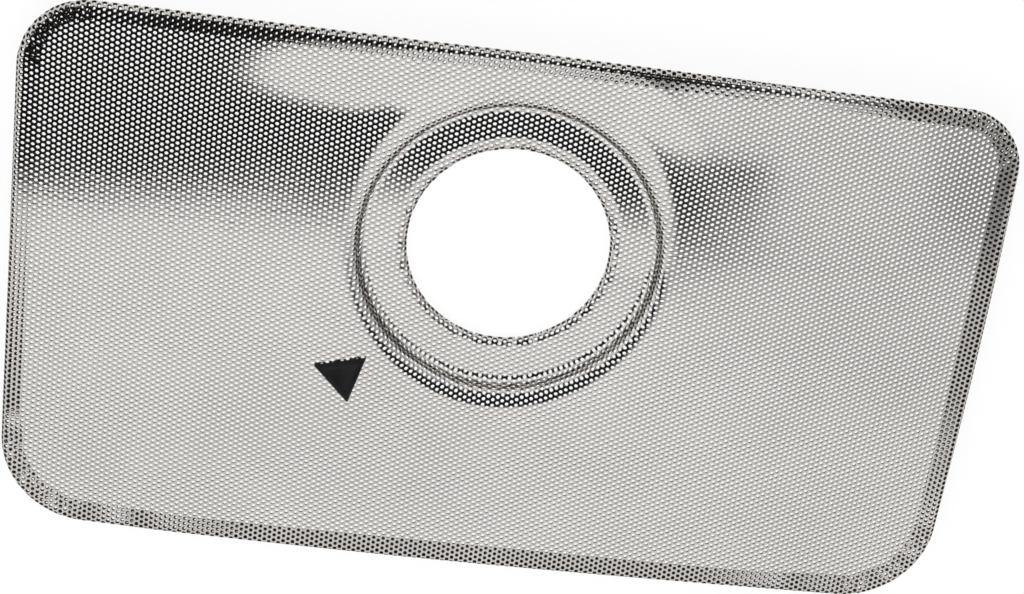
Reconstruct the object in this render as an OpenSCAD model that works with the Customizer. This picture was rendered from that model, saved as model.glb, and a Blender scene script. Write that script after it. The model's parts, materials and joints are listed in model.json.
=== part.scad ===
// Fine filter plate of a dishwasher.
// One sheet of perforated stainless steel, with a rolled rim, and a round recess with a turned-down hole.
// A moulded arrow on the sheet points at the middle of the hole.
// The plate lies flat, with its length along X. The lower edge of the hole's lip is at Z = 0.
// The origin is under the middle of the plate.

/* [Plate] */
// Length of the plate over its rolled rim
plate_l = 344; // [260:1:420]
// Width of the plate over its rolled rim
plate_w = 196; // [180:1:260]
// Radius of the plate's four corners
corner_r = 28; // [18:1:45]
// Thickness of the steel sheet
sheet_t = 0.6; // [0.4:0.05:0.8]

/* [Rolled rim] */
// Width of the strip that is turned under, from the outside edge inwards
hem_w = 7; // [5:0.5:10]
// Outside radius of the rounded upper edge
rim_upper_r = 2.4; // [1.4:0.1:4]
// Outside radius of the tighter lower turn
rim_lower_r = 1; // [0.9:0.1:2]

/* [Recess] */
// Distance of the recess and its hole from the middle of the plate, towards one long side
recess_y = 25; // [0:1:28]
// Radius at which the flat field starts to bend down into the recess
recess_r = 56; // [53:0.5:60]
// Depth of the recess floor below the field
recess_d = 6.5; // [5:0.1:12]
// Steepness of the recess wall, in degrees from the floor
wall_slope = 75; // [60:1:85]
// Inside radius of the bends at the top and the foot of the recess wall
bend_r = 2; // [1:0.1:2.5]

/* [Hole] */
// Diameter of the large hole
hole_d = 72; // [60:0.5:80]
// Height of the turned-down lip, from the recess floor to its lower edge
lip_h = 2.6; // [2:0.1:6]
// Inside radius of the bend between the recess floor and the lip
lip_bend_r = 1; // [0.4:0.1:1.2]

/* [Perforation] */
// Diameter of one real perforation
perf_d = 1.5; // [0.8:0.1:1.6]
// Distance between neighbouring real perforations, in columns that run across the plate
perf_pitch = 2; // [1.8:0.05:3]
// Columns of openings along the plate: the same pattern, drawn this much coarser
open_columns = 12; // [6:1:12]
// Openings around the recess floor
floor_openings = 22; // [8:1:24]
// Least width of solid sheet between an opening and a bend, the rim or the arrow
open_margin = 1.5; // [1:0.5:4]
// Diameter under which an opening is left out
open_least_d = 5; // [4:0.5:12]

/* [Arrow] */
// Length of each of the arrow's three sides
arrow_side = 18.6; // [14:0.1:24]
// Thickness of the arrow above the sheet
arrow_t = 1.8; // [1:0.1:3]
// Width of the slope around the arrow's upper face
arrow_bevel = 0.4; // [0.2:0.05:0.8]
// Distance of the arrow's tip from the axis of the hole
arrow_tip_r = 64.2; // [62:0.1:80]
// Direction of the arrow as seen from the hole, in degrees from X
arrow_dir = 225; // [200:1:250]
// Distance of each peg from the middle of the arrow
peg_spread = 3.6; // [2.5:0.1:4]
// Clearance around each peg in its perforation
peg_clear = 0.15; // [0.05:0.05:0.25]
// Diameter of the flattened peg heads under the sheet
peg_head_d = 2.8; // [2.2:0.1:3.4]
// Thickness of the flattened peg heads
peg_head_t = 0.7; // [0.4:0.1:1.2]

/* [Hidden] */
$fn = 96;
hole_r = hole_d / 2;
field_top = lip_h + recess_d;
field_under = field_top - sheet_t;
rim_h = rim_upper_r + rim_lower_r;
bend_span = 2 * bend_r + sheet_t;
wall_l = (recess_d - bend_span * (1 - cos(wall_slope))) / sin(wall_slope);
foot_r = recess_r - bend_span * sin(wall_slope) - wall_l * cos(wall_slope);
lip_start_r = hole_r + sheet_t + lip_bend_r;
inner_l = plate_l - 2 * hem_w;
inner_w = plate_w - 2 * hem_w;
inner_corner_r = corner_r - hem_w;
hole_to_pitch = perf_d / perf_pitch;
column_step = (inner_l / 2 - open_margin) / ((open_columns - 1) / 2 + hole_to_pitch / sqrt(3));
open_pitch = 2 * column_step / sqrt(3);
open_d = open_pitch * hole_to_pitch;
floor_mid_r = (lip_start_r + foot_r) / 2;
floor_step = 2 * floor_mid_r * sin(180 / floor_openings);
floor_open_d = min(foot_r - lip_start_r - 2 * open_margin, floor_step * hole_to_pitch);
arrow_out_r = arrow_side / sqrt(3);
arrow_in_r = arrow_out_r / 2;
arrow_mid_r = arrow_tip_r + arrow_out_r;
arrow_mid = [arrow_mid_r * cos(arrow_dir), recess_y + arrow_mid_r * sin(arrow_dir)];
peg_d = perf_d - 2 * peg_clear;
// Steps along each bend of the recess wall
bend_steps = 12;
// How far a cutting shape runs past the face that it cuts
past = 1;

// The section of a bend: a strip of sheet that follows an arc from angle a0 to angle a1
module bend_section(r_in, a0, a1) {
  reach = 2 * (r_in + sheet_t);
  a_mid = (a0 + a1) / 2;
  intersection() {
    difference() {
      circle(r = r_in + sheet_t);
      circle(r = r_in);
    }
    polygon([
      [0, 0],
      reach * [cos(a0), sin(a0)],
      reach * [cos(a_mid), sin(a_mid)],
      reach * [cos(a1), sin(a1)]
    ]);
  }
}

// The section of the rolled rim and of the field beside it, as far in as the corners reach:
// the outside edge is at x = edge, and the upper face of the field at y = 0
module rim_section(edge) {
  translate([edge - corner_r, -sheet_t]) square([corner_r - rim_upper_r, sheet_t]);
  translate([edge - rim_upper_r, -rim_upper_r]) bend_section(rim_upper_r - sheet_t, 0, 90);
  translate([edge - rim_lower_r, -rim_upper_r]) bend_section(rim_lower_r - sheet_t, 270, 360);
  translate([edge - hem_w, -rim_h]) square([hem_w - rim_lower_r, sheet_t]);
}

// A straight length of rim and field, with its edge at a distance from the middle of the plate
module rim_side(l, away) {
  translate([-l / 2, 0, field_top]) rotate([90, 0, 90]) linear_extrude(l) rim_section(away);
}

// One corner of the plate, with its rim
module rim_corner() {
  rotate_extrude(angle = 90) rim_section(corner_r);
}

// The field and its rim, open where the recess is
module plate() {
  difference() {
    union() {
      middle();
      rim();
    }
    translate([0, recess_y, field_under - past]) cylinder(r = recess_r, h = sheet_t + 2 * past);
  }
}

// The middle of the field, between the four corners
module middle() {
  l = plate_l - 2 * corner_r;
  w = plate_w - 2 * corner_r;
  translate([-l / 2, -w / 2, field_under]) cube([l, w, sheet_t]);
}

// The rim all the way round, and the field as far in as the corners reach
module rim() {
  for (turn = [0, 180]) {
    rotate([0, 0, turn]) rim_side(plate_l - 2 * corner_r, plate_w / 2);
    rotate([0, 0, turn + 90]) rim_side(plate_w - 2 * corner_r, plate_l / 2);
  }
  for (corner = [[1, 1, 0], [-1, 1, 90], [-1, -1, 180], [1, -1, 270]]) {
    translate([
      corner[0] * (plate_l / 2 - corner_r),
      corner[1] * (plate_w / 2 - corner_r),
      field_top
    ]) rotate([0, 0, corner[2]]) rim_corner();
  }
}

// The points of an arc about a centre, from angle a0 to angle a1
function arc(centre, r, a0, a1) = [
  for (k = [0 : bend_steps])
    let (a = a0 + (a1 - a0) * k / bend_steps)
    centre + r * [cos(a), sin(a)]
];

// The section of the recess wall and floor: down the upper face, then back along the lower one
module wall_section() {
  top_centre = [recess_r, field_under - bend_r];
  foot_centre = [foot_r, lip_h + bend_r];
  polygon(concat(
    arc(top_centre, bend_r + sheet_t, 90, 90 + wall_slope),
    arc(foot_centre, bend_r, 270 + wall_slope, 270),
    [[lip_start_r, lip_h], [lip_start_r, lip_h - sheet_t]],
    arc(foot_centre, bend_r + sheet_t, 270, 270 + wall_slope),
    arc(top_centre, bend_r, 90 + wall_slope, 90)
  ));
}

// The section of the recess and its lip, at their distance from the axis of the hole
module recess_section() {
  wall_section();
  translate([lip_start_r, lip_h - sheet_t - lip_bend_r]) bend_section(lip_bend_r, 90, 180);
  translate([hole_r, 0]) square([sheet_t, lip_h - sheet_t - lip_bend_r]);
}

// The distance from x, y to the strip that is turned under at the rim
function to_rim(x, y) =
  let (dx = abs(x) - (inner_l / 2 - inner_corner_r), dy = abs(y) - (inner_w / 2 - inner_corner_r))
  inner_corner_r - (dx > 0 && dy > 0 ? norm([dx, dy]) : max(dx, dy));

// The distance from x, y to the bend at the top of the recess wall, and to the arrow
function to_recess(x, y) = norm([x, y - recess_y]) - recess_r;
function to_arrow(x, y) = norm([x, y] - arrow_mid) - arrow_out_r;

// The diameter of an opening at x, y: smaller where a bend, the rim or the arrow is near
function opening_d(x, y) =
  min(open_d, 2 * (min(to_rim(x, y), to_recess(x, y), to_arrow(x, y)) - open_margin));

// The openings of the field: each column is half a step off its neighbours
module field_openings() {
  rows = ceil(plate_w / 2 / open_pitch);
  for (i = [0 : open_columns - 1], j = [-rows : rows]) {
    x = (i - (open_columns - 1) / 2) * column_step;
    y = (j + (i % 2 == 0 ? 0.25 : -0.25)) * open_pitch;
    d = opening_d(x, y);
    if (d > open_least_d) {
      translate([x, y, field_under - past]) cylinder(d = d, h = sheet_t + 2 * past);
    }
  }
}

// The openings of the recess floor, in a ring
module ring_openings() {
  for (k = [0 : floor_openings - 1]) {
    rotate([0, 0, (k + 0.5) * 360 / floor_openings]) {
      translate([floor_mid_r, 0, lip_h - sheet_t - past]) cylinder(d = floor_open_d, h = sheet_t + 2 * past);
    }
  }
}

// The arrow's place: its tip points along -X of this frame, at the axis of the hole
module at_arrow(z) {
  translate([arrow_mid[0], arrow_mid[1], z]) rotate([0, 0, arrow_dir]) children();
}

// The places of the arrow's three pegs
module at_pegs() {
  for (turn = [60, 180, 300]) {
    rotate([0, 0, turn]) translate([peg_spread, 0, 0]) children();
  }
}

// The pressed and perforated steel sheet
module filter_sheet() {
  color([0.78, 0.77, 0.74]) difference() {
    union() {
      plate();
      translate([0, recess_y, 0]) rotate_extrude() recess_section();
    }
    field_openings();
    translate([0, recess_y, 0]) ring_openings();
    at_arrow(field_under - past) at_pegs() cylinder(d = perf_d, h = sheet_t + 2 * past);
  }
}

// The moulded arrow, with three pegs that are flattened under the sheet
module arrow_marker() {
  color([0.06, 0.06, 0.06]) at_arrow(field_top) {
    difference() {
      rotate([0, 0, 180]) linear_extrude(arrow_t) circle(r = arrow_out_r, $fn = 3);
      for (turn = [0, 120, 240]) {
        rotate([0, 0, turn]) arrow_bevel_cut();
      }
    }
    translate([0, 0, -sheet_t]) at_pegs() cylinder(d = peg_d, h = sheet_t);
    translate([0, 0, -sheet_t - peg_head_t]) at_pegs() cylinder(d = peg_head_d, h = peg_head_t);
  }
}

// What is cut from one side of the arrow to make the slope along its upper edge
module arrow_bevel_cut() {
  translate([0, arrow_side, 0]) rotate([90, 0, 0]) linear_extrude(2 * arrow_side) polygon([
    [arrow_in_r - arrow_bevel, arrow_t],
    [arrow_in_r + past, arrow_t - arrow_bevel - past],
    [arrow_in_r + past, arrow_t + past],
    [arrow_in_r - arrow_bevel, arrow_t + past]
  ]);
}

filter_sheet();
arrow_marker();
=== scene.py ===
import json
import math
import bpy
import numpy as np
from mathutils import Matrix, Vector

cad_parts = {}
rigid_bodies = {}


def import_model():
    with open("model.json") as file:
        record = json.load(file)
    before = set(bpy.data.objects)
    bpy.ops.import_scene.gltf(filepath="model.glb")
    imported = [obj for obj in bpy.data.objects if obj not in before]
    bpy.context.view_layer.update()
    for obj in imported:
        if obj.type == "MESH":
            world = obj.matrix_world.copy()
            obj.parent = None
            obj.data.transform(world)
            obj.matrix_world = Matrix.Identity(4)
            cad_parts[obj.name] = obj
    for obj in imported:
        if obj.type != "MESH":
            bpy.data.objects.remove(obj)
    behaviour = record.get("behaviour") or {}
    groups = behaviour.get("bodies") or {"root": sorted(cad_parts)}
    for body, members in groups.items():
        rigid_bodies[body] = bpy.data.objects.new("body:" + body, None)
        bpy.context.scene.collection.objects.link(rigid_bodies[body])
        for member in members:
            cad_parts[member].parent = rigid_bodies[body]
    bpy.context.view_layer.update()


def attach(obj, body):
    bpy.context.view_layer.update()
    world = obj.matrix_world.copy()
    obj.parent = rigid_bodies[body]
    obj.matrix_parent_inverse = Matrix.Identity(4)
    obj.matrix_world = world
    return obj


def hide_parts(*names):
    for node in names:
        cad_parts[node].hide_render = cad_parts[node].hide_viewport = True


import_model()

MM = 0.001

# The pressed sheet, in millimetres, as in the part's source
PLATE_L, PLATE_W = 344.0, 196.0
# Outer radii of the rim's corners: near left, near right, and both far ones
NEAR_LEFT_R, NEAR_RIGHT_R, FAR_R = 24.9, 21.6, 30.6
SHEET_T = 0.6
# The thickness that the sheet is drawn with, burrs of the punching included
GAUGE = 0.78
HEM_W, RIM_UPPER_R, RIM_LOWER_R = 7.0, 2.4, 1.0
RECESS_Y, RECESS_R, RECESS_D, WALL_SLOPE, BEND_R = 25.0, 56.0, 6.5, 75.0, 2.0
HOLE_R, LIP_H, LIP_BEND_R = 36.0, 2.6, 1.0
# The lip is drawn this much shorter, since its ragged edge reaches out again, and this much stretched
LIP_SHORT, LIP_STRETCH = 0.35, 1.05
PITCH, PERF_R = 2.0, 0.715
FIELD_TOP = LIP_H + RECESS_D
# Middle of the sheet's thickness on the field, and on the recess floor
FIELD_MID = FIELD_TOP - SHEET_T / 2
FLOOR_MID = LIP_H - SHEET_T / 2
STRIPS = 6

# The arrow, in millimetres
ARROW_SIDE, ARROW_T, ARROW_BEVEL = 18.6, 1.8, 0.4
ARROW_TIP_R, ARROW_DIR = 64.2, 225.0
# Its flat border, then a narrow slope down to the dished middle, and the softness of all its edges
ARROW_BORDER, ARROW_STEP, ARROW_DISH, ARROW_EDGE = 1.3, 0.35, 0.12, 0.16
PEG_SPREAD, PEG_R, PEG_HEAD_R, PEG_HEAD_T, PEG_EDGE = 3.6, 0.6, 1.4, 0.7, 0.22

# Faces that turn by more than this keep their edge sharp
SHARP_ANGLE = math.radians(35)

# The camera, as solved from the lattice of perforations: metres, degrees, and the lens in millimetres
CAMERA_PLACE, CAMERA_TURN, CAMERA_LENS = (-0.0715, 0.31936, 0.74858), (-23.2385, -2.5029, 7.7012), 80.3


# ---- helpers for work in edit mode

def only(piece):
    """Deselects everything and makes this piece the active one."""
    for o in bpy.context.view_layer.objects:
        o.select_set(False)
    piece.select_set(True)
    bpy.context.view_layer.objects.active = piece


def edit(piece):
    """Opens this piece alone in edit mode."""
    only(piece)
    bpy.ops.object.mode_set(mode="EDIT")


def pick_faces(piece, chosen):
    """Selects the faces of a mask, from object mode."""
    mesh = piece.data
    mesh.vertices.foreach_set("select", np.zeros(len(mesh.vertices), bool))
    mesh.edges.foreach_set("select", np.zeros(len(mesh.edges), bool))
    mesh.polygons.foreach_set("select", chosen)


def drop_faces(piece, chosen):
    """Deletes the faces of a mask, with what hangs on them alone."""
    pick_faces(piece, chosen)
    edit(piece)
    bpy.ops.mesh.select_mode(type="FACE")
    bpy.ops.mesh.delete(type="FACE")
    bpy.ops.object.mode_set(mode="OBJECT")


def points_of(mesh):
    """The mesh's points, one row each."""
    co = np.empty(len(mesh.vertices) * 3)
    mesh.vertices.foreach_get("co", co)
    return co.reshape(-1, 3)


def apply_all(piece):
    """Applies the piece's modifiers, in order."""
    only(piece)
    for m in list(piece.modifiers):
        bpy.ops.object.modifier_apply(modifier=m.name)


# ---- the sheet's form: from the flat blank to the pressed shape

BEND_MID = BEND_R + SHEET_T / 2
SLOPE = math.radians(WALL_SLOPE)
WALL_L = (RECESS_D - 2 * BEND_MID * (1 - math.cos(SLOPE))) / math.sin(SLOPE)
FOOT_R = RECESS_R - 2 * BEND_MID * math.sin(SLOPE) - WALL_L * math.cos(SLOPE)
LIP_MID = LIP_BEND_R + SHEET_T / 2
LIP_START = HOLE_R + SHEET_T + LIP_BEND_R
LIP_L = LIP_MID * math.pi / 2 + LIP_H - SHEET_T - LIP_BEND_R - LIP_SHORT
# How far the draw moved the recess floor outwards, and the field beside the recess inwards
FLOOR_DRAW, FIELD_DRAW, DRAW_REACH = 1.68, 1.0, 9.0
BLANK_FOOT = FOOT_R - FLOOR_DRAW
BLANK_TOP = RECESS_R + FIELD_DRAW
BLANK_LIP = LIP_START - FLOOR_DRAW
BLANK_HOLE = BLANK_LIP - LIP_L / LIP_STRETCH
# The rim's neutral radii, and its length when it is laid flat
UPPER_MID, LOWER_MID = RIM_UPPER_R - SHEET_T / 2, RIM_LOWER_R - SHEET_T / 2
UPPER_L, LOWER_L = UPPER_MID * math.pi / 2, LOWER_MID * math.pi / 2
RIM_BLANK = UPPER_L + LOWER_L + HEM_W - RIM_LOWER_R
# How far in the folded strip covers the field, in lengths of the rim's two bends: as far as the painted
# shade on the field's underside reaches
FOLD_SHADE_REACH = -1.2


def ease(t):
    """From 0 to 1 with soft ends."""
    t = np.clip(t, 0, 1)
    return t * t * (3 - 2 * t)


def past_edge(x, y):
    """How far a blank's point lies outside the line where the rim's bend starts, and the way out."""
    # The rim strays a little from a true rectangle, and the corners differ
    side = np.where(x < 0, 0.5 + y / 80, 1.5 - ((y - 15) / 75) ** 2)
    near_end = -0.0095 * np.clip(x, 0, None) - 0.5 * ease((x - 115) / 40)
    far_end = 1.65 - (x / 121) ** 2 - 0.5 * ease((-105 - x) / 40)
    end = np.where(y > 0, near_end, far_end)
    radius = np.where(y > 0, np.where(x < 0, NEAR_LEFT_R, NEAR_RIGHT_R), FAR_R)
    ax, ay = np.abs(x) - side - PLATE_L / 2 + radius, np.abs(y) - end - PLATE_W / 2 + radius
    corner = (ax > 0) & (ay > 0)
    rho = np.hypot(ax, ay) + 1e-9
    out = radius - RIM_UPPER_R
    far = np.where(corner, rho - out, np.maximum(ax, ay) - out)
    nx = np.where(corner, ax / rho, (ax > ay) * 1.0) * np.sign(x)
    ny = np.where(corner, ay / rho, (ax <= ay) * 1.0) * np.sign(y)
    return far, nx, ny


def recess_map(rb, up):
    """Pressed distance to the hole's axis, and height, from the blank's distance and its bearing's sine."""
    # The field and the floor, moved by the draw
    r = np.where(rb > BLANK_TOP, rb - FIELD_DRAW * np.exp(-(rb - BLANK_TOP) / DRAW_REACH), rb + FLOOR_DRAW)
    z = np.where(rb > BLANK_TOP, FIELD_MID, FLOOR_MID)
    # The wall between them, along its length
    bend_l = BEND_MID * SLOPE
    s = (rb - BLANK_FOOT) / (BLANK_TOP - BLANK_FOOT) * (2 * bend_l + WALL_L)
    a = np.clip(s, 0, bend_l) / BEND_MID
    w = np.clip(s - bend_l, 0, WALL_L)
    b = SLOPE - np.clip(s - bend_l - WALL_L, 0, bend_l) / BEND_MID
    wall_r = FOOT_R + BEND_MID * np.sin(a) + w * math.cos(SLOPE) + BEND_MID * (math.sin(SLOPE) - np.sin(b))
    wall_z = FLOOR_MID + BEND_MID * (1 - np.cos(a)) + w * math.sin(SLOPE)
    wall_z = wall_z + BEND_MID * (np.cos(b) - math.cos(SLOPE))
    on_wall = (s > 0) & (rb < BLANK_TOP)
    r, z = np.where(on_wall, wall_r, r), np.where(on_wall, wall_z, z)
    # The field leans to the recess, most on the far side, and near the camera the floor leans to the hole
    start = 59.4 + 2.2 * np.clip(-up, 0, 1) ** 3 + 3.4 * ease((up - 0.1) / 0.7)
    lean = -0.4 * (np.clip(start - r, 0, start - 55.5) / 6) ** 2
    z = z + lean * np.clip((z - FLOOR_MID) / RECESS_D, 0, 1) ** 2
    z = z - 0.12 * ease(up / 0.6) * (np.clip(40.2 - r, 0, 3) / 3) ** 2 * (r < 45)
    # The floor rises a little on either side of the hole, towards the near side
    low = np.clip(1 - (z - FLOOR_MID) / 2.4, 0, 1)
    level = np.clip(up * r - 8, 0, 20)
    rise = np.clip(up * r + 6, 0, 14) + level - level * level / 40
    z = z + 0.0115 * rise * low * ease((rb - BLANK_LIP) / 3)
    # The lip: its bend, then straight down
    t = np.clip((BLANK_LIP - rb) * LIP_STRETCH, 0, LIP_L)
    c = np.clip(t / LIP_MID, 0, math.pi / 2)
    down = np.clip(t - LIP_MID * math.pi / 2, 0, None)
    lip_r = LIP_START - LIP_MID * np.sin(c)
    lip_z = FLOOR_MID - 0.08 * ease(up / 0.6) * (1 - t / LIP_L) - LIP_MID * (1 - np.cos(c)) - down
    on_lip = rb < BLANK_LIP
    return np.where(on_lip, lip_r, r), np.where(on_lip, lip_z, z)


def bow(x, y):
    """How far the field and its rim rise above a true plane, read from what the polished sheet mirrors."""
    r = np.hypot(x, y - RECESS_Y)
    ring = ease((r - 57) / 22)
    dip = ease((x - 42) / 16) * ease((104 - x) / 36)
    wide = ease((x + 50) / 14) * (1.45 - 0.55 * dip + 0.2 * ease((x - 76) / 18)) * ease((170 - x) / 54)
    near = wide * np.clip((y - 32) / 66, 0, 1) ** 2
    # A shallow swelling left of the recess, and a steeper rim where the main rise dips
    near = near + 1.25 * ease((x + 145) / 90) * ease((-30 - x) / 20) * ease((y - 67) / 36)
    near = near + 0.75 * dip * ease((y - 64) / 50)
    far = (0.5 + 0.8 * ease(1 - np.abs(x + 10) / 150)) * np.clip(1 - (98 + y) / 52, 0, 1) ** 2
    right = 0.15 * np.clip(1 - (172 - x) / 30, 0, 1) ** 2
    # Unevenness all over
    soft = 0.05 * np.sin(x / 31 + 0.6) * np.sin(y / 27 + 1.1)
    return (near + far + right) * ring + soft * ring * ease((r - 60) / 30)


def slip(x, y, nx, ny):
    """How far the folded strip slipped under the field, which sets how its perforations meet those above."""
    # Along each side but the right one, away from the corners
    top = (ny > 0.7) * ease((x + 150) / 30) * ease((135 - x) / 25)
    bottom = (ny < -0.7) * ease((x + 135) / 25) * ease((135 - x) / 25)
    left = (nx < -0.7) * ease((y + 68) / 20) * ease((84 - y) / 16)
    filled = ease((45 - y) / 115)
    dx = 0.55 * top + (0.85 + x / 264) * bottom + (y / 40 - 0.79 + 1.155 * filled) * left
    dy = np.maximum(-0.28 - 2 * (x / 121) ** 2, -0.9) * bottom + (0.0038 * y - 1.31) * left
    return dx, dy


def form(points):
    """The pressed place of each point of the flat blank, in millimetres."""
    x, y = points[:, 0], points[:, 1]
    rb = np.hypot(x, y - RECESS_Y) + 1e-9
    r, z = recess_map(rb, (y - RECESS_Y) / rb)
    # The lip's edge is crumpled, most where it is seen from above
    turn = np.arctan2(y - RECESS_Y, x)
    crumple = ease((39.8 - r) / 2.6) * (0.4 + 0.6 * ease((y - RECESS_Y) / rb / 0.4))
    z = z + 0.2 * crumple * np.sin(turn * 73 + 2 * np.sin(turn * 7)) * np.sin(turn * 31 + r * 2.3)
    x, y = x * r / rb, RECESS_Y + (y - RECESS_Y) * r / rb
    lift = bow(x, y)
    far, nx, ny = past_edge(x, y)
    e = np.clip(far, 0, None)
    a = np.clip(e / UPPER_MID, 0, math.pi / 2)
    b = np.clip((e - UPPER_L) / LOWER_MID, 0, math.pi / 2)
    back = np.clip(e - UPPER_L - LOWER_L, 0, None)
    out = UPPER_MID * np.sin(a) - LOWER_MID * (1 - np.cos(b)) - back
    drop = UPPER_MID * (1 - np.cos(a)) + LOWER_MID * np.sin(b)
    on_rim = far > 0
    x = np.where(on_rim, x + nx * (out - e), x)
    y = np.where(on_rim, y + ny * (out - e), y)
    z = np.where(on_rim, z - drop, z)
    dx, dy = slip(x, y, nx, ny)
    slid = ease((e - 0.85 * UPPER_L) / (LOWER_L + 2 - 0.35 * UPPER_L))
    x, y = x + dx * slid, y + dy * slid
    return np.stack([x, y, z + lift], 1)


def trim(piece):
    """Cuts the strip to the blank's outline and its hole, straight through the perforations."""
    mesh = piece.data
    p = points_of(mesh)
    x, y = p[:, 0], p[:, 1]
    rb = np.hypot(x, y - RECESS_Y)
    far, nx, ny = past_edge(x, y)
    outside = (far > RIM_BLANK) | (rb < BLANK_HOLE)
    corners = np.empty(len(mesh.loops), np.int32)
    mesh.loops.foreach_get("vertex_index", corners)
    start = np.empty(len(mesh.polygons), np.int32)
    mesh.polygons.foreach_get("loop_start", start)
    gone = np.minimum.reduceat(outside[corners].astype(int), start) > 0
    # What is left outside is drawn back to the cut
    over = np.clip(far - RIM_BLANK, 0, None)
    p[:, 0] -= nx * over
    p[:, 1] -= ny * over
    k = np.where(rb < BLANK_HOLE, BLANK_HOLE / np.maximum(rb, 1e-6), 1.0)
    p[:, 0] *= k
    p[:, 1] = RECESS_Y + (p[:, 1] - RECESS_Y) * k
    mesh.vertices.foreach_set("co", p.ravel())
    drop_faces(piece, gone)


def perforated_cell():
    """One perforation in its six-sided piece of sheet, and its neighbour half a step on."""
    bpy.ops.mesh.primitive_circle_add(vertices=6, radius=PITCH / math.sqrt(3), rotation=(0, 0, math.pi / 6))
    cell = bpy.context.object
    bpy.ops.object.transform_apply(location=True, rotation=True, scale=True)
    bpy.ops.object.mode_set(mode="EDIT")
    bpy.ops.mesh.primitive_circle_add(vertices=8, radius=PERF_R)
    bpy.ops.mesh.select_all(action="SELECT")
    bpy.ops.mesh.bridge_edge_loops()
    bpy.ops.mesh.quads_convert_to_tris()
    bpy.ops.mesh.select_all(action="SELECT")
    bpy.ops.mesh.normals_make_consistent(inside=False)
    bpy.ops.mesh.duplicate_move(TRANSFORM_OT_translate={"value": (PITCH * math.sqrt(3) / 2, PITCH / 2, 0)})
    bpy.ops.object.mode_set(mode="OBJECT")
    return cell


def paint_shade_inside_fold(strip, faces):
    """Paints shade on the faces that look into the fold by giving them the dark steel; they come second in a
    thickened strip.
    """
    mesh = strip.data
    fold = np.empty(len(mesh.vertices))
    mesh.attributes["fold"].data.foreach_get("value", fold)
    corners = np.empty(len(mesh.loops), np.int32)
    mesh.loops.foreach_get("vertex_index", corners)
    start = np.empty(len(mesh.polygons), np.int32)
    mesh.polygons.foreach_get("loop_start", start)
    deep = np.maximum.reduceat(fold[corners], start)
    slot = np.empty(len(mesh.polygons), np.int32)
    mesh.polygons.foreach_get("material_index", slot)
    # The field's underside takes the painted shade as far in as the folded strip covers it
    slot[faces:2 * faces][deep[faces:2 * faces] > FOLD_SHADE_REACH] = 1
    mesh.polygons.foreach_set("material_index", slot)


def make_strips():
    """The perforated sheet, in strips side by side."""
    step = PITCH * math.sqrt(3)
    half_l = PLATE_L / 2 - RIM_UPPER_R + RIM_BLANK + PITCH
    half_w = PLATE_W / 2 - RIM_UPPER_R + RIM_BLANK + PITCH
    columns = math.ceil(half_l / step)
    rows = math.ceil(half_w / PITCH)
    cuts = [round(k * (2 * columns + 1) / STRIPS) - columns for k in range(STRIPS + 1)]
    pattern = perforated_cell()
    # The second slot is the dark steel of the punched walls and the fold, which carries painted shade
    for material in (steel(), dark_edge_and_painted_shade()):
        pattern.data.materials.append(material)
    strips = []
    for k in range(STRIPS):
        only(pattern)
        bpy.ops.object.duplicate()
        strip = bpy.context.object
        strip.name = "sheet_strip_%d" % (k + 1)
        strip.location = (cuts[k] * step, -rows * PITCH, 0)
        up = strip.modifiers.new("up", "ARRAY")
        up.use_relative_offset, up.use_constant_offset = False, True
        up.constant_offset_displace = (0, PITCH, 0)
        up.count = 2 * rows + 1
        along = strip.modifiers.new("along", "ARRAY")
        along.use_relative_offset, along.use_constant_offset = False, True
        along.constant_offset_displace = (step, 0, 0)
        along.count = cuts[k + 1] - cuts[k]
        apply_all(strip)
        bpy.ops.object.transform_apply(location=True, rotation=True, scale=True)
        edit(strip)
        bpy.ops.mesh.select_all(action="SELECT")
        bpy.ops.mesh.remove_doubles(threshold=0.02)
        bpy.ops.object.mode_set(mode="OBJECT")
        trim(strip)
        if strip.data.polygons[0].normal.z < 0:
            strip.data.flip_normals()
        flat = points_of(strip.data)
        past_bend = past_edge(flat[:, 0], flat[:, 1])[0]
        fold = strip.data.attributes.new("fold", "FLOAT", "POINT")
        fold.data.foreach_set("value", past_bend / (UPPER_L + LOWER_L))
        strip.data.vertices.foreach_set("co", (form(flat) * MM).ravel())
        strip.data.update()
        faces = len(strip.data.polygons)
        wall = strip.modifiers.new("gauge", "SOLIDIFY")
        wall.thickness = GAUGE * MM
        wall.offset = 0
        wall.use_even_offset = False
        # The perforations' walls take the second slot: torn steel, darkened further as painted shade
        wall.material_offset_rim = 1
        apply_all(strip)
        # Painted shade on the faces inside the fold
        paint_shade_inside_fold(strip, faces)
        bpy.ops.object.shade_smooth_by_angle(angle=SHARP_ANGLE)
        strips.append(strip)
    only(pattern)
    bpy.ops.object.delete()
    return strips


# ---- the arrow

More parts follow.
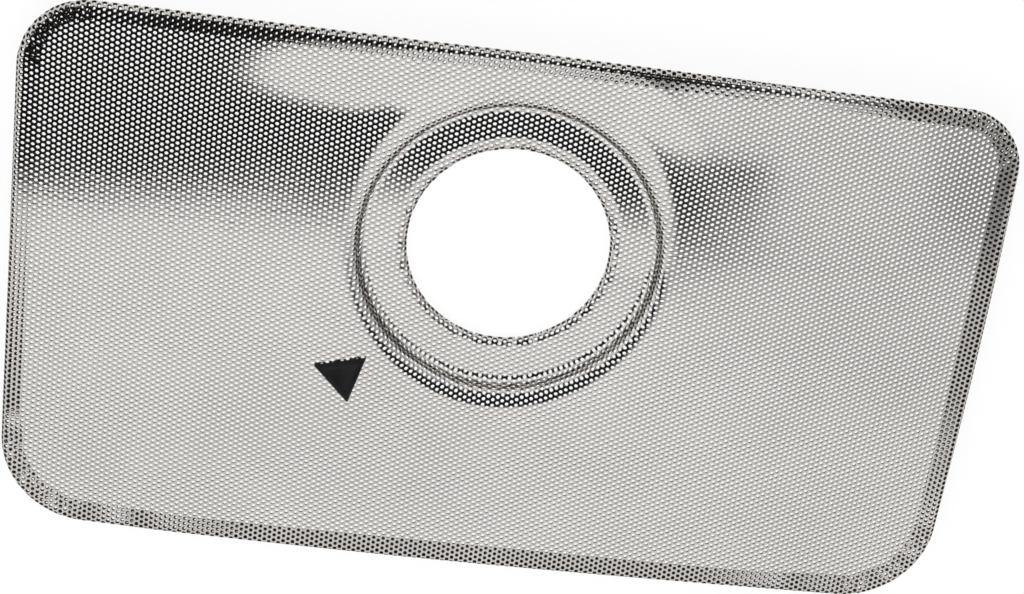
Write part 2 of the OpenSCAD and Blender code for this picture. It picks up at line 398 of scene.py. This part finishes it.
def make_arrow():
    """A three-sided wedge of moulded plastic with a sloped edge, on three riveted pegs."""
    out_r = ARROW_SIDE / math.sqrt(3)
    mid = ARROW_TIP_R + out_r
    turn = math.radians(ARROW_DIR)
    bpy.ops.object.select_all(action="DESELECT")
    bpy.ops.mesh.primitive_circle_add(
        vertices=3, radius=out_r * MM, fill_type="NGON", rotation=(0, 0, math.pi / 2))
    arrow = bpy.context.object
    arrow.name = "pointer"
    bpy.ops.object.transform_apply(location=True, rotation=True, scale=True)
    edit(arrow)
    bpy.ops.mesh.select_all(action="SELECT")
    bpy.ops.mesh.extrude_region_move(TRANSFORM_OT_translate={"value": (0, 0, (ARROW_T - ARROW_BEVEL) * MM)})
    bpy.ops.mesh.extrude_region_move(TRANSFORM_OT_translate={"value": (0, 0, ARROW_BEVEL * MM)})
    shrink = 1 - ARROW_BEVEL / (out_r / 2)
    bpy.ops.transform.resize(value=(shrink, shrink, 1))
    bpy.ops.mesh.inset(thickness=ARROW_BORDER * MM)
    bpy.ops.mesh.inset(thickness=ARROW_STEP * MM)
    bpy.ops.transform.translate(value=(0, 0, -ARROW_DISH * MM))
    bpy.ops.mesh.select_all(action="SELECT")
    bpy.ops.mesh.normals_make_consistent(inside=False)
    bpy.ops.object.mode_set(mode="OBJECT")
    soft = arrow.modifiers.new("soft_edges", "BEVEL")
    soft.width = ARROW_EDGE * MM
    soft.segments = 3
    soft.limit_method = "ANGLE"
    soft.angle_limit = math.radians(20)
    apply_all(arrow)
    parts = [arrow]
    for k in range(3):
        a = math.radians(60 + 120 * k)
        place = (PEG_SPREAD * math.cos(a) * MM, PEG_SPREAD * math.sin(a) * MM)
        bpy.ops.object.select_all(action="DESELECT")
        bpy.ops.mesh.primitive_cylinder_add(
            vertices=24, radius=PEG_R * MM, depth=SHEET_T * MM, location=(*place, -SHEET_T / 2 * MM))
        parts.append(bpy.context.object)
        bpy.ops.object.select_all(action="DESELECT")
        bpy.ops.mesh.primitive_cylinder_add(
            vertices=32, radius=PEG_HEAD_R * MM, depth=PEG_HEAD_T * MM,
            location=(*place, -(SHEET_T + PEG_HEAD_T / 2) * MM))
        head = bpy.context.object
        round_off = head.modifiers.new("round_off", "BEVEL")
        round_off.width = PEG_EDGE * MM
        round_off.segments = 3
        round_off.limit_method = "ANGLE"
        apply_all(head)
        parts.append(head)
    bpy.ops.object.select_all(action="DESELECT")
    for o in parts:
        o.select_set(True)
    bpy.context.view_layer.objects.active = arrow
    bpy.ops.object.join()
    arrow.matrix_world = Matrix.Translation((
        mid * math.cos(turn) * MM, (RECESS_Y + mid * math.sin(turn)) * MM, FIELD_TOP * MM
    )) @ Matrix.Rotation(turn, 4, "Z")
    only(arrow)
    bpy.ops.object.transform_apply(location=True, rotation=True, scale=True)
    bpy.ops.object.shade_smooth_by_angle(angle=SHARP_ANGLE)
    return arrow


# ---- materials

class Wire:
    """A socket that takes part in sums, so that shader maths reads as Python."""

    def __init__(self, tree, socket):
        self.tree, self.socket = tree, socket

    def math(self, operation, *values):
        return node(self.tree, "ShaderNodeMath", {"operation": operation}, [self, *values])

    def __add__(self, other):
        return self.math("ADD", other)

    def __sub__(self, other):
        return self.math("SUBTRACT", other)

    def __mul__(self, other):
        return self.math("MULTIPLY", other)

    def __rsub__(self, other):
        return node(self.tree, "ShaderNodeMath", {"operation": "SUBTRACT"}, [other, self])

    __radd__ = __add__
    __rmul__ = __mul__


def node(tree, kind, settings=None, inputs=(), output=0):
    """A node with its settings, then the values or links of its sockets, as a Wire on one output."""
    n = tree.nodes.new(kind)
    for name, value in (settings or {}).items():
        if name == "stops":
            ramp = n.color_ramp
            while len(ramp.elements) < len(value):
                ramp.elements.new(0.5)
            for element, (place, colour) in zip(ramp.elements, value):
                element.position, element.color = place, (*colour, 1)
        else:
            setattr(n, name, value)
    pairs = inputs.items() if isinstance(inputs, dict) else enumerate(inputs)
    for key, value in pairs:
        socket = live(n.inputs, key)
        if isinstance(value, Wire):
            tree.links.new(value.socket, socket)
        elif value is not None:
            socket.default_value = value
    return Wire(tree, live(n.outputs, output))


def live(sockets, key):
    """The socket of a number or name: of those that share a name, the one in use."""
    if isinstance(key, int):
        return sockets[key]
    return next(s for s in sockets if s.name == key and s.enabled)


def new_material(name):
    material = bpy.data.materials.new(name)
    material.use_nodes = True
    tree = material.node_tree
    tree.nodes.clear()
    return material, tree


def finish_shader(tree, shader):
    out = tree.nodes.new("ShaderNodeOutputMaterial")
    tree.links.new(shader.socket, out.inputs["Surface"])


def steel():
    """Polished stainless sheet: faint rolling streaks, handling haze, and a painted dark reflection on the
    rim's bend, kept off the side at +Y.
    """
    material, tree = new_material("polished_stainless")
    place = node(tree, "ShaderNodeTexCoord", output="Object")
    stretched = node(tree, "ShaderNodeMapping", {}, {"Vector": place, "Scale": (40, 900, 40)})
    streaks = node(tree, "ShaderNodeTexNoise", {}, {
        "Vector": stretched, "Scale": 1.0, "Detail": 3.0, "Roughness": 0.6})
    haze = node(tree, "ShaderNodeTexNoise", {}, {
        "Vector": place, "Scale": 34.0, "Detail": 4.0, "Roughness": 0.55})
    tone = node(tree, "ShaderNodeValToRGB", {
        "stops": [(0.3, (0.535, 0.511, 0.490)), (0.7, (0.60, 0.576, 0.554))]}, {"Fac": haze})
    fold = node(tree, "ShaderNodeAttribute", {"attribute_name": "fold"}, output="Fac")
    along = tree.nodes.new("ShaderNodeSeparateXYZ")
    tree.links.new(place.socket, along.inputs[0])
    # The dark colour on the rim's bend is a painted reflection, kept off the side at +Y
    away = node(tree, "ShaderNodeMapRange", {"interpolation_type": "SMOOTHSTEP"},
                {"Value": Wire(tree, along.outputs[1]), "From Min": 0.09, "From Max": 0.06})
    painted_rim_mask = node(tree, "ShaderNodeMapRange", {"interpolation_type": "SMOOTHSTEP"},
                  {"Value": fold, "From Min": 0.28, "From Max": 0.62, "To Max": 0.8}) * away
    tone_with_painted_rim = node(tree, "ShaderNodeMix", {"data_type": "RGBA"},
                   {"Factor": painted_rim_mask, "A": tone, "B": (0.12, 0.10, 0.088, 1)}, output="Result")
    roughness = 0.022 + haze * 0.025 + streaks * 0.015 + painted_rim_mask * 0.15
    bumps = node(tree, "ShaderNodeBump", {}, {"Strength": 0.04, "Distance": 0.0002, "Height": streaks})
    shader = node(tree, "ShaderNodeBsdfPrincipled", {}, {
        "Base Color": tone_with_painted_rim, "Metallic": 1.0, "Roughness": roughness, "Normal": bumps})
    finish_shader(tree, shader)
    return material


def dark_edge_and_painted_shade():
    """The punched walls of the perforations, torn and unpolished and darkened further as painted shade, and
    the inside of the fold, darkened as painted shade.
    """
    material, tree = new_material("punched_edge_and_painted_shade")
    place = node(tree, "ShaderNodeTexCoord", output="Object")
    tear = node(tree, "ShaderNodeTexNoise", {}, {"Vector": place, "Scale": 1500.0, "Detail": 3.0})
    # Near-black: partly the torn edge's own colour, partly painted shade in the holes and the fold
    tone = node(tree, "ShaderNodeValToRGB", {
        "stops": [(0.3, (0.022, 0.020, 0.019)), (0.75, (0.075, 0.068, 0.062))]}, {"Fac": tear})
    shader = node(tree, "ShaderNodeBsdfPrincipled", {}, {
        "Base Color": tone, "Metallic": 0.8, "Roughness": 0.42 + tear * 0.2})
    finish_shader(tree, shader)
    return material


def plastic():
    """Black moulded plastic with a fine grain."""
    material, tree = new_material("black_moulding")
    place = node(tree, "ShaderNodeTexCoord", output="Object")
    grain = node(tree, "ShaderNodeTexNoise", {}, {"Vector": place, "Scale": 2600.0, "Detail": 2.0})
    wear = node(tree, "ShaderNodeTexNoise", {}, {"Vector": place, "Scale": 210.0, "Detail": 3.0})
    tone = node(tree, "ShaderNodeValToRGB", {
        "stops": [(0.35, (0.003, 0.003, 0.003)), (0.75, (0.008, 0.008, 0.008))]}, {"Fac": wear})
    bumps = node(tree, "ShaderNodeBump", {}, {"Strength": 0.12, "Distance": 0.0001, "Height": grain})
    shader = node(tree, "ShaderNodeBsdfPrincipled", {}, {
        "Base Color": tone, "Roughness": 0.34 + wear * 0.2, "Specular IOR Level": 0.2, "Normal": bumps})
    finish_shader(tree, shader)
    return material


# ---- the set

def make_floor():
    """A pale table that stays white to the camera and keeps the part's shadow."""
    bpy.ops.object.select_all(action="DESELECT")
    bpy.ops.mesh.primitive_plane_add(size=6.0, location=(0, 0, -0.0002))
    floor = bpy.context.object
    floor.name = "table"
    material, tree = new_material("white_table")
    rays = node(tree, "ShaderNodeLightPath", output="Is Camera Ray")
    gloss = node(tree, "ShaderNodeLightPath", output="Is Glossy Ray")
    through = node(tree, "ShaderNodeLightPath", output="Is Transmission Ray")
    pale = node(tree, "ShaderNodeBsdfDiffuse", {}, {"Color": (0.93, 0.93, 0.93, 1)})
    bright = node(tree, "ShaderNodeEmission", {}, {"Color": (1, 1, 1, 1), "Strength": 1.0})
    share = (rays + gloss + through) * 0.90
    mixed = node(tree, "ShaderNodeMixShader", {}, [share, pale, bright])
    finish_shader(tree, mixed)
    floor.data.materials.append(material)
    return floor


# Where the dark panel overhead ends, as the sine of the angle from straight up
PANEL_FAR, PANEL_NEAR, PANEL_LEFT, PANEL_RIGHT = -0.361, 0.53, -0.5, 0.26


def make_surroundings():
    """A white room with one dark panel overhead, which the polished sheet mirrors."""
    world = bpy.data.worlds.new("studio")
    bpy.context.scene.world = world
    world.use_nodes = True
    tree = world.node_tree
    tree.nodes.clear()
    way = node(tree, "ShaderNodeTexCoord", output="Generated")
    split = tree.nodes.new("ShaderNodeSeparateXYZ")
    tree.links.new(way.socket, split.inputs[0])
    x, y, z = (Wire(tree, split.outputs[k]) for k in range(3))

    def edge(value, at, soft):
        return node(tree, "ShaderNodeMapRange", {"interpolation_type": "SMOOTHSTEP"},
                    {"Value": value, "From Min": at - soft, "From Max": at + soft})
    # The far edge runs askew at the right, and is blurred there, as something nearer would be
    skew = node(tree, "ShaderNodeMapRange", {}, {
        "Value": x, "From Min": 0.16, "From Max": 0.24, "To Max": 0.026})
    blur = node(tree, "ShaderNodeMapRange", {}, {
        "Value": x, "From Min": -0.06, "From Max": 0.03, "To Min": 0.003, "To Max": 0.018})
    far = edge(y - skew, PANEL_FAR, blur)
    near = 1 - edge(y, PANEL_NEAR, 0.05)
    left = edge(x, PANEL_LEFT, 0.15)
    right = 1 - edge(x, PANEL_RIGHT, 0.10) * 0.7
    gloss = node(tree, "ShaderNodeLightPath", output="Is Glossy Ray")
    # A faint shade beyond it on the right
    veil = edge(y, -0.40, 0.03) * edge(x, 0.17, 0.04) * near * 0.17
    dark = (veil + far * near * left * right * (1 - veil)) * edge(z, 0.02, 0.02) * gloss
    strength = 1.0 - dark * 0.99
    sky = node(tree, "ShaderNodeBackground", {}, {"Color": (1, 1, 1, 1), "Strength": strength})
    out = tree.nodes.new("ShaderNodeOutputWorld")
    tree.links.new(sky.socket, out.inputs["Surface"])


def make_lamp(name, place, aim, size, power):
    """A soft lamp that lights the part but isn't mirrored in it."""
    light = bpy.data.lights.new(name, "AREA")
    light.energy, light.size = power, size
    lamp = bpy.data.objects.new(name, light)
    bpy.context.collection.objects.link(lamp)
    lamp.location = place
    lamp.rotation_euler = (Vector(aim) - Vector(place)).to_track_quat("-Z", "Y").to_euler()
    lamp.visible_glossy = False
    return lamp


def make_camera():
    """The photo's viewpoint."""
    camera = bpy.data.cameras.new("camera")
    camera.lens, camera.sensor_width = CAMERA_LENS, 36
    camera.clip_end = 20
    holder = bpy.data.objects.new("camera", camera)
    bpy.context.collection.objects.link(holder)
    holder.location = CAMERA_PLACE
    holder.rotation_euler = [math.radians(a) for a in CAMERA_TURN]
    bpy.context.scene.camera = holder


# ---- put together

make_camera()
sheet = make_strips()
pointer = make_arrow()
moulding = plastic()
for strip in sheet:
    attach(strip, "root")
    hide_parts("filter_sheet")
pointer.data.materials.clear()
pointer.data.materials.append(moulding)
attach(pointer, "root")
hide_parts("arrow_marker")

make_floor()
make_surroundings()
make_lamp("softbox", (-0.5, -1.3, 1.1), (0, 0, 0), 1.2, 9)
bpy.context.scene.view_settings.view_transform = "Standard"
